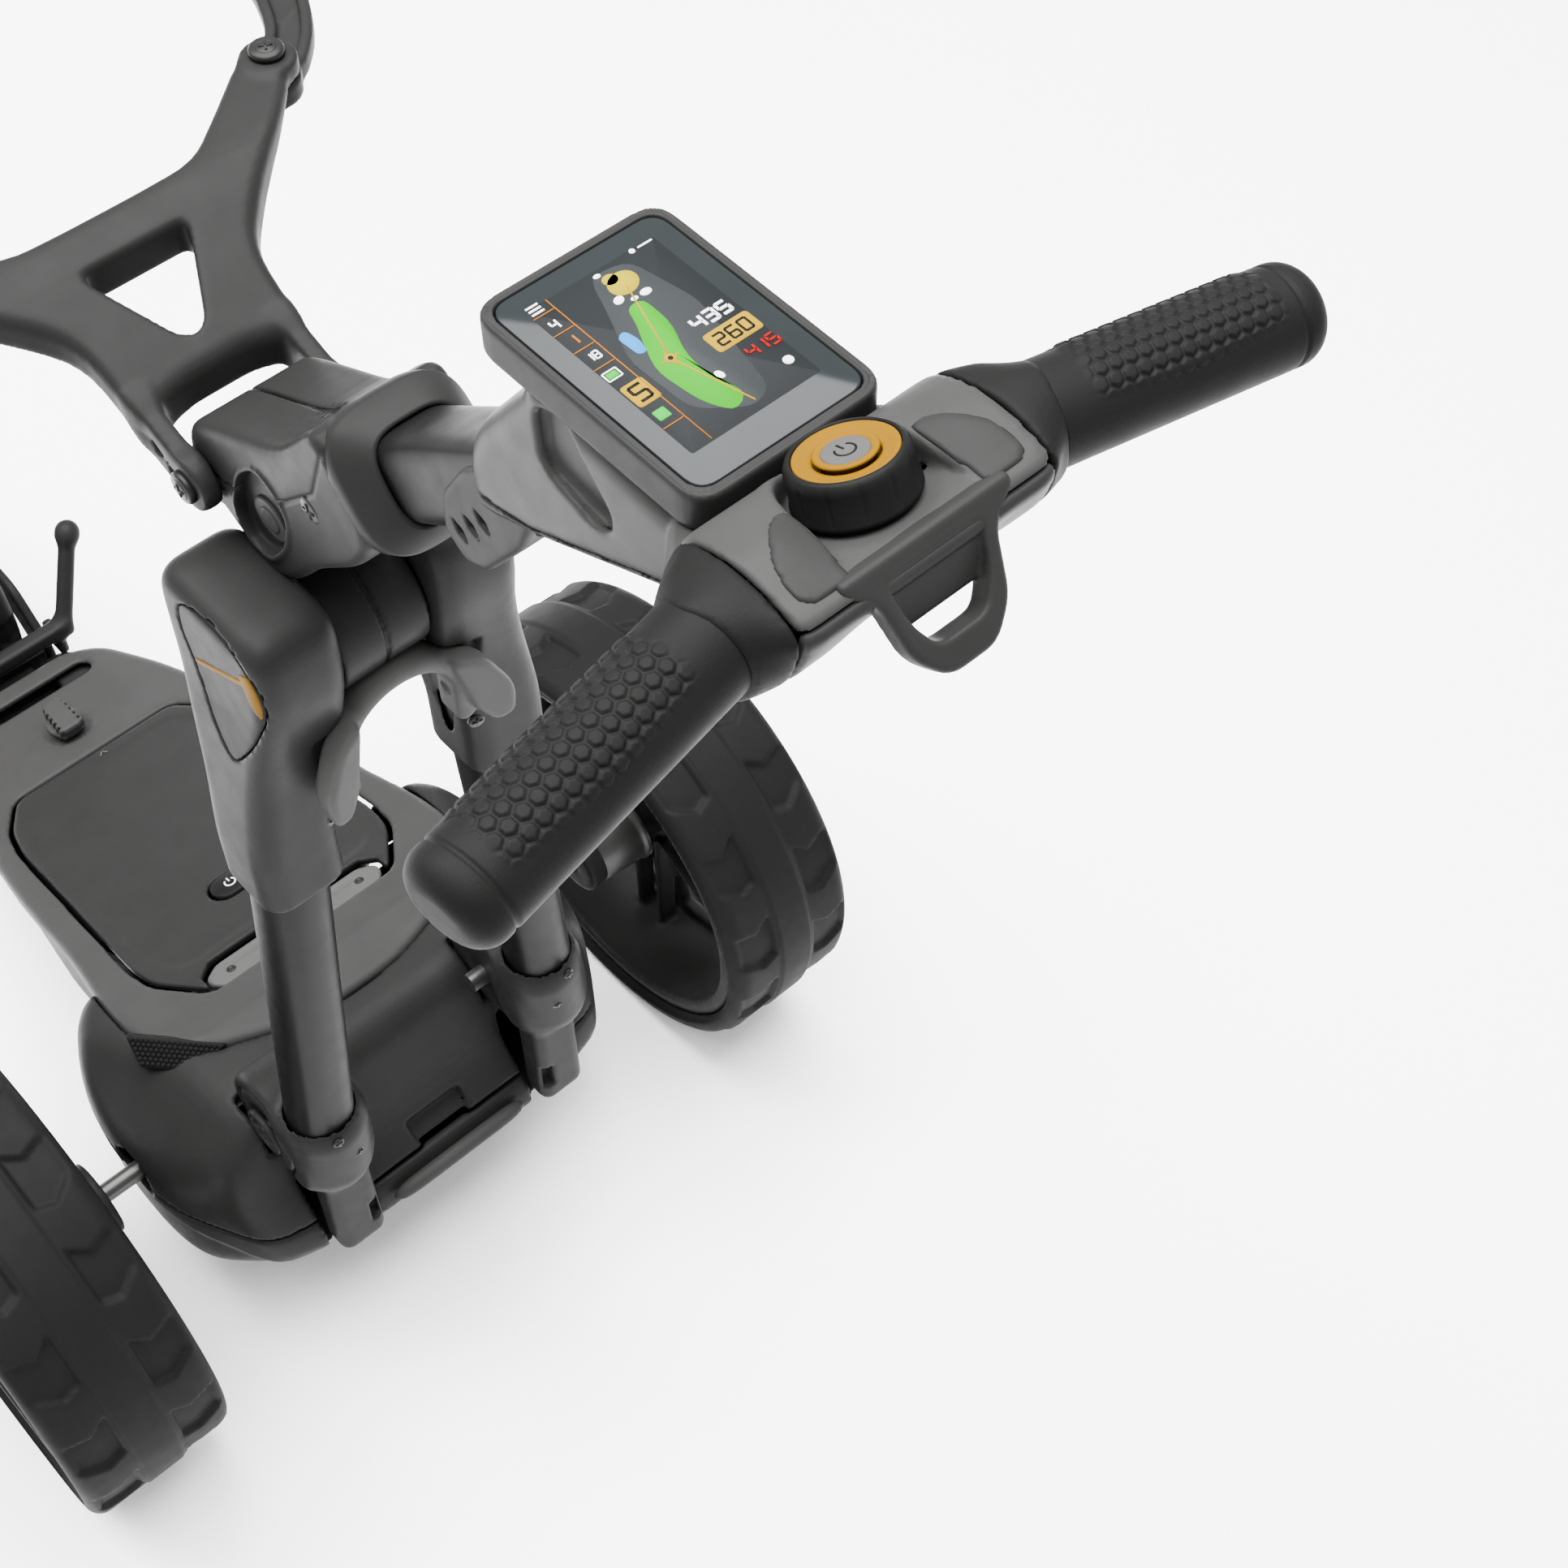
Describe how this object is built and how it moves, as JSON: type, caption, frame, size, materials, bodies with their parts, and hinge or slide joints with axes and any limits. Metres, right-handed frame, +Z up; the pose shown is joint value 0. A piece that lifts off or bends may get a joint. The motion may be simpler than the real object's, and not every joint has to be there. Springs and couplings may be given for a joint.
{
  "type": "electric golf trolley",
  "caption": "Three-wheeled electric golf trolley with a folding leg frame, tilting bag supports, a lift-out battery, and a handle with a screen and a speed dial.",
  "frame": {"origin": "on the ground, in the middle of the overall length and width", "axes": "+Z up, +Y the way the trolley drives, +X to the driver's right"},
  "size_m": [0.574, 1.15, 1.0127],
  "materials": {
    "tyre": "satin moulded rubber",
    "rim_plastic": "glass-filled moulding",
    "shell_dark": "fine texture",
    "shell_grey": "fine texture",
    "console_grey": "satin, soft touch",
    "battery_black": "satin",
    "release_grey": "satin",
    "grip_rubber": "moulded with a hexagon relief",
    "tube_metal": "satin anodised grey",
    "steel": "turned",
    "zinc_screw": "blackened",
    "gear_nylon": "moulded",
    "cast_case": "die cast",
    "board": "solder mask",
    "cell_wrap": "shrink wrap",
    "screen_glass": "dark glass",
    "button_yellow": "satin",
    "knob_black": "fine texture",
    "pad_dark": "honeycomb texture"
  },
  "bodies": {
    "chassis": {"housing_upper": "shell_dark", "housing_lower": "shell_dark", "side_pads": "pad_dark", "foot_bar": "shell_dark", "tray_base": "shell_dark", "tray_surround": "shell_grey", "battery_socket": "shell_dark", "control_board": "board", "motor_can": "cast_case", "gearbox_case": "cast_case", "axle_bearings": "steel", "base_pins": "steel", "front_pin": "steel"},
    "wheel_left": {"rear_tyre_left": "tyre", "rear_rim_left": "rim_plastic"},
    "wheel_right": {"rear_tyre_right": "tyre", "rear_rim_right": "rim_plastic"},
    "release_left": {"hub_release_left": "shell_grey"},
    "release_right": {"hub_release_right": "shell_grey"},
    "axle": {"drive_axle": "steel", "axle_gear": "gear_nylon"},
    "rotor": {"motor_shaft": "steel", "motor_pinion": "steel"},
    "battery": {"battery_case": "battery_black", "battery_lid": "battery_black", "battery_cells": "cell_wrap"},
    "battery_tab": {"battery_release_tab": "release_grey"},
    "battery_power": {"battery_button": "battery_black"},
    "tray_lock": {"tray_lock_knob": "shell_grey"},
    "front_frame": {"front_beam": "shell_dark", "front_fork": "shell_dark", "front_axle": "steel", "lower_cradle": "shell_dark"},
    "front_wheel": {"front_tyre": "tyre", "front_rim": "rim_plastic"},
    "legs": {"leg_sockets": "shell_dark", "leg_tubes": "tube_metal", "leg_caps": "shell_dark", "badge_plates": "battery_black", "pivot_caps": "knob_black", "drum_pin": "steel"},
    "latch": {"fold_latch": "release_grey"},
    "handle": {"hub_block": "shell_dark", "hub_collar": "shell_dark", "stem_tube": "tube_metal", "console_lower": "shell_dark", "console_upper": "console_grey", "display_case": "console_grey", "display_glass": "screen_glass", "display_board": "board", "handlebar_core": "cast_case", "grips": "grip_rubber", "ticket_loop": "console_grey"},
    "yoke": {"bag_yoke": "shell_dark", "yoke_pin_screws": "zinc_screw", "arm_screws": "zinc_screw"},
    "arm_left": {"bag_arm_left": "shell_dark"},
    "arm_right": {"bag_arm_right": "shell_dark"},
    "dial": {"speed_dial": "knob_black"},
    "dial_press": {"dial_button": "button_yellow"}
  },
  "joints": [
    {"name": "wheel_left_spin", "type": "hinge", "parent": "chassis", "child": "wheel_left", "pos_m": [-0.24, -0.088, 0.1515], "axis": [1, 0, 0], "continuous": true},
    {"name": "wheel_right_spin", "type": "hinge", "parent": "chassis", "child": "wheel_right", "pos_m": [0.24, -0.088, 0.1515], "axis": [1, 0, 0], "continuous": true},
    {"name": "release_left_press", "type": "slide", "parent": "wheel_left", "child": "release_left", "axis": [1, 0, 0], "range_m": [0, 0.003], "stiffness_N_per_m": 400},
    {"name": "release_right_press", "type": "slide", "parent": "wheel_right", "child": "release_right", "axis": [-1, 0, 0], "range_m": [0, 0.003], "stiffness_N_per_m": 400},
    {"name": "axle_spin", "type": "hinge", "parent": "chassis", "child": "axle", "pos_m": [0, -0.088, 0.1515], "axis": [1, 0, 0], "continuous": true},
    {"name": "rotor_spin", "type": "hinge", "parent": "chassis", "child": "rotor", "pos_m": [0, -0.043, 0.1515], "axis": [1, 0, 0], "continuous": true},
    {"name": "front_wheel_spin", "type": "hinge", "parent": "front_frame", "child": "front_wheel", "pos_m": [0, 0.463, 0.112], "axis": [1, 0, 0], "continuous": true},
    {"name": "front_fold", "type": "hinge", "parent": "chassis", "child": "front_frame", "pos_m": [0, 0.33, 0.062], "axis": [-1, 0, 0], "range_deg": [0, 120]},
    {"name": "base_fold", "type": "hinge", "parent": "chassis", "child": "legs", "pos_m": [0, -0.168, 0.244], "axis": [-1, 0, 0], "range_deg": [0, 80]},
    {"name": "handle_fold", "type": "hinge", "parent": "legs", "child": "handle", "pos_m": [0, -0.207, 0.668], "axis": [1, 0, 0], "range_deg": [0, 95]},
    {"name": "fold_latch_squeeze", "type": "hinge", "parent": "legs", "child": "latch", "pos_m": [0, -0.234, 0.606], "axis": [1, 0, 0], "range_deg": [0, 9], "stiffness_Nm_per_rad": 2},
    {"name": "yoke_fold", "type": "hinge", "parent": "handle", "child": "yoke", "pos_m": [0, -0.176, 0.742], "axis": [-1, 0, 0], "range_deg": [0, 50]},
    {"name": "arm_left_fold", "type": "hinge", "parent": "yoke", "child": "arm_left", "pos_m": [-0.108, -0.036, 0.78], "axis": [0, 0, -1], "range_deg": [0, 60]},
    {"name": "arm_right_fold", "type": "hinge", "parent": "yoke", "child": "arm_right", "pos_m": [0.108, -0.036, 0.78], "axis": [0, 0, 1], "range_deg": [0, 60]},
    {"name": "dial_turn", "type": "hinge", "parent": "handle", "child": "dial", "pos_m": [0, -0.524, 0.991], "axis": [0, 0.3584, 0.9336], "range_deg": [-135, 135]},
    {"name": "dial_press_travel", "type": "slide", "parent": "dial", "child": "dial_press", "axis": [0, -0.3584, -0.9336], "range_m": [0, 0.002], "stiffness_N_per_m": 400},
    {"name": "battery_lift", "type": "slide", "parent": "chassis", "child": "battery", "axis": [0, 0, 1], "range_m": [0, 0.03]},
    {"name": "battery_tab_lift", "type": "hinge", "parent": "battery", "child": "battery_tab", "pos_m": [0, -0.044, 0.21638], "axis": [-1, 0, 0], "range_deg": [0, 10], "stiffness_Nm_per_rad": 0.5},
    {"name": "battery_power_press", "type": "slide", "parent": "battery", "child": "battery_power", "axis": [0, 0, -1], "range_m": [0, 0.0015], "stiffness_N_per_m": 400},
    {"name": "tray_lock_turn", "type": "hinge", "parent": "chassis", "child": "tray_lock", "pos_m": [0, 0.243, 0.112], "axis": [0, 0, 1], "range_deg": [0, 90]}
  ],
  "couplings": [
    {"joint": "rotor_spin", "follows": "axle_spin", "ratio": -4}
  ]
}
